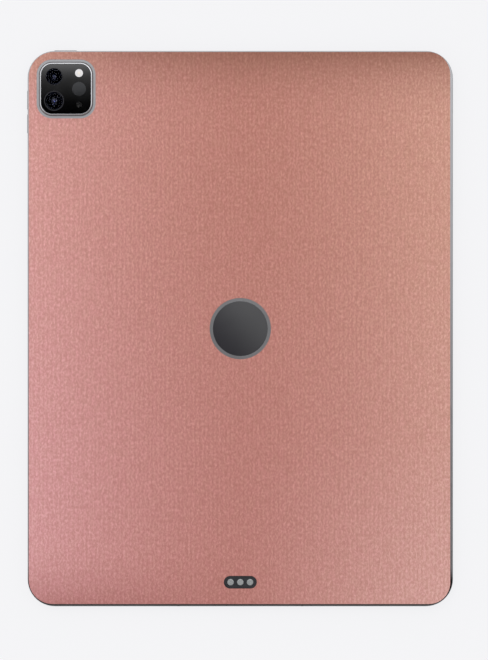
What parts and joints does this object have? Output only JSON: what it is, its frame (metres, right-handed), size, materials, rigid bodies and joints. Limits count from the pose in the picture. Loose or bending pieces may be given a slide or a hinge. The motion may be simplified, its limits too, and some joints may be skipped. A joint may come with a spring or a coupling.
{
  "type": "tablet computer",
  "caption": "Slim tablet computer lying screen down: metal housing with a leather-look rear skin, raised camera plateau, pressing side buttons, and its electronics inside.",
  "frame": {"origin": "middle of the cover glass, on its outer face, which is the face that the tablet rests on", "axes": "+X to the right as the back is seen, +Y to the tablet's top edge, +Z out of the back"},
  "size_m": [0.2152, 0.281, 0.0078],
  "materials": {
    "skin_film": "leather-look vinyl film, rose copper, fine grain, satin with a faint metallic sheen",
    "anodised_aluminium": "bead-blasted and anodised grey",
    "antenna_plastic": "smooth dark grey moulding",
    "emblem_metal": "polished dark metal",
    "frame_metal": "polished edge",
    "seal_rubber": "black, matt",
    "dark_glass": "black-backed glass, polished",
    "lens_metal": "dark, turned",
    "lens_glass": "coated, blue-black",
    "flash_plastic": "frosted white diffuser",
    "sensor_window": "dark grey, smooth",
    "fine_mesh": "fine black mesh",
    "pad_plastic": "dark grey, matt",
    "contact_metal": "plated, satin",
    "gold_plate": "gold plated",
    "port_steel": "drawn steel",
    "black_plastic": "black moulding",
    "window_paint": "painted to match the metal",
    "cover_glass": "clear, polished",
    "gasket": "black, matt",
    "border_ink": "printed black",
    "display_layer": "switched off, near black",
    "backlight_film": "white diffuser in a bright frame",
    "module_shell": "black, fine texture",
    "plate_steel": "pressed sheet",
    "circuit_board": "green solder mask",
    "chip_resin": "moulded black",
    "shield_tin": "tinned sheet",
    "graphite": "dark grey film",
    "battery_pouch": "black laminated pouch",
    "adhesive": "stretch tape, pale",
    "copper": "enamelled copper wire",
    "magnet_plating": "nickel plated",
    "flex_film": "amber polyimide",
    "screw_steel": "small cross-head"
  },
  "bodies": {
    "chassis": {"back_skin": "skin_film", "rear_housing": "anodised_aluminium", "antenna_breaks": "antenna_plastic", "stylus_charging_window": "window_paint", "rear_emblem": "emblem_metal", "camera_frame": "frame_metal", "camera_frame_seal": "seal_rubber", "camera_glass": "dark_glass", "wide_lens_ring": "lens_metal", "wide_lens": "lens_glass", "ultrawide_lens_ring": "lens_metal", "ultrawide_lens": "lens_glass", "flash_diffuser": "flash_plastic", "depth_sensor_window": "sensor_window", "rear_microphone_mesh": "fine_mesh", "connector_pad": "pad_plastic", "connector_contacts": "contact_metal", "usb_c_shell": "port_steel", "usb_c_tongue": "black_plastic", "usb_c_contacts": "gold_plate", "speaker_meshes": "fine_mesh", "cover_glass": "cover_glass", "glass_gasket": "gasket", "border_mask": "border_ink", "display_panel": "display_layer", "backlight_unit": "backlight_film", "front_camera": "module_shell", "infrared_camera": "module_shell", "dot_projector": "module_shell", "ambient_light_sensor": "module_shell", "front_sensor_bracket": "plate_steel", "logic_board": "circuit_board", "processor": "chip_resin", "storage_chips": "chip_resin", "shield_cans": "shield_tin", "graphite_sheet": "graphite", "battery_left": "battery_pouch", "battery_right": "battery_pouch", "battery_adhesive": "adhesive", "battery_board": "circuit_board", "speaker_top_left": "black_plastic", "speaker_top_right": "black_plastic", "speaker_bottom_left": "black_plastic", "speaker_bottom_right": "black_plastic", "wide_camera_module": "module_shell", "ultrawide_camera_module": "module_shell", "depth_sensor_module": "module_shell", "flash_led": "module_shell", "camera_bracket": "plate_steel", "power_button_switch": "plate_steel", "volume_button_switches": "plate_steel", "button_brackets": "plate_steel", "stylus_charging_coil": "copper", "edge_magnets": "magnet_plating", "display_cable": "flex_film", "connector_cable": "flex_film", "screws": "screw_steel"},
    "power_key": {"power_button": "anodised_aluminium"},
    "volume_up_key": {"volume_up_button": "anodised_aluminium"},
    "volume_down_key": {"volume_down_button": "anodised_aluminium"}
  },
  "joints": [
    {"name": "power_button_press", "type": "slide", "parent": "chassis", "child": "power_key", "axis": [0, -1, 0], "range_m": [0, 0.00025], "stiffness_N_per_m": 1200, "springref_m": -0.0005},
    {"name": "volume_up_press", "type": "slide", "parent": "chassis", "child": "volume_up_key", "axis": [1, 0, 0], "range_m": [0, 0.00025], "stiffness_N_per_m": 1200, "springref_m": -0.0005},
    {"name": "volume_down_press", "type": "slide", "parent": "chassis", "child": "volume_down_key", "axis": [1, 0, 0], "range_m": [0, 0.00025], "stiffness_N_per_m": 1200, "springref_m": -0.0005}
  ]
}
